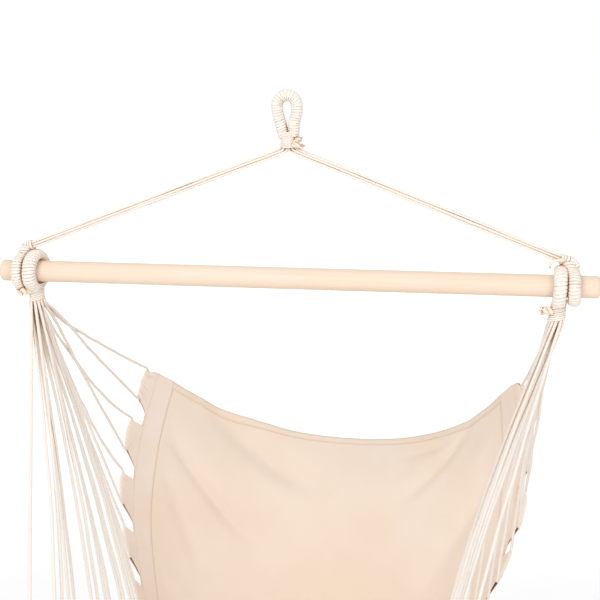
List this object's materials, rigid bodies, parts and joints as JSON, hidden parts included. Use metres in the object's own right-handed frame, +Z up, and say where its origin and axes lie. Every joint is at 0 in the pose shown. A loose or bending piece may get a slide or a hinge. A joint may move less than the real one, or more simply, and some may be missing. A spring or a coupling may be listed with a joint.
{
  "type": "hammock chair",
  "caption": "Cloth sling seat hung by fans of cotton cord from a round wooden spreader bar, which hangs from one wound rope eye on two cord legs.",
  "frame": {"origin": "top of the hanging eye's hole, where the hook bears", "axes": "+X along the spreader bar, towards the sitter's left hand; +Y behind the sitter; +Z up"},
  "size_m": [1, 1.2018, 1.4983],
  "materials": {
    "wood": "smooth sanded pine",
    "cord": "twisted undyed cotton cord",
    "cloth": "plain woven canvas"
  },
  "bodies": {
    "suspension": {"hanging_eye_core": "cord", "hanging_eye_wrap": "cord", "hanging_eye_neck_binding": "cord", "hanging_eye_binding_tail": "cord", "left_suspension_loop_core": "cord", "left_suspension_loop_wrap": "cord", "left_suspension_throat_binding": "cord", "left_suspension_cord_1": "cord", "left_suspension_cord_2": "cord", "left_suspension_cord_3": "cord", "left_suspension_cord_4": "cord", "left_suspension_cord_5": "cord", "left_suspension_cord_6": "cord", "right_suspension_loop_core": "cord", "right_suspension_loop_wrap": "cord", "right_suspension_throat_binding": "cord", "right_suspension_binding_tail": "cord", "right_suspension_cord_1": "cord", "right_suspension_cord_2": "cord", "right_suspension_cord_3": "cord", "right_suspension_cord_4": "cord", "right_suspension_cord_5": "cord", "right_suspension_cord_6": "cord"},
    "bar": {"spreader_bar": "wood"},
    "sling": {"seat_cloth": "cloth", "left_harness_loop_core": "cord", "left_harness_loop_wrap": "cord", "left_harness_neck_binding": "cord", "left_harness_binding_tail": "cord", "left_side_band": "cloth", "left_harness_cord_01": "cord", "left_harness_cord_02": "cord", "left_harness_cord_03": "cord", "left_harness_cord_04": "cord", "left_harness_cord_05": "cord", "left_harness_cord_06": "cord", "left_harness_cord_07": "cord", "left_harness_cord_08": "cord", "left_harness_cord_09": "cord", "left_harness_cord_10": "cord", "left_harness_cord_11": "cord", "left_harness_cord_12": "cord", "right_harness_loop_core": "cord", "right_harness_loop_wrap": "cord", "right_harness_neck_binding": "cord", "right_harness_binding_tail": "cord", "right_side_band": "cloth", "right_harness_cord_01": "cord", "right_harness_cord_02": "cord", "right_harness_cord_03": "cord", "right_harness_cord_04": "cord", "right_harness_cord_05": "cord", "right_harness_cord_06": "cord", "right_harness_cord_07": "cord", "right_harness_cord_08": "cord", "right_harness_cord_09": "cord", "right_harness_cord_10": "cord", "right_harness_cord_11": "cord", "right_harness_cord_12": "cord"}
  },
  "joints": [
    {"name": "bar_slide", "type": "slide", "parent": "suspension", "child": "bar", "axis": [1, 0, 0], "range_m": [-0.02, 0.02]},
    {"name": "seat_swing", "type": "hinge", "parent": "suspension", "child": "sling", "pos_m": [0, 0, -0.288], "axis": [1, 0, 0], "range_deg": [-60, 60]}
  ]
}
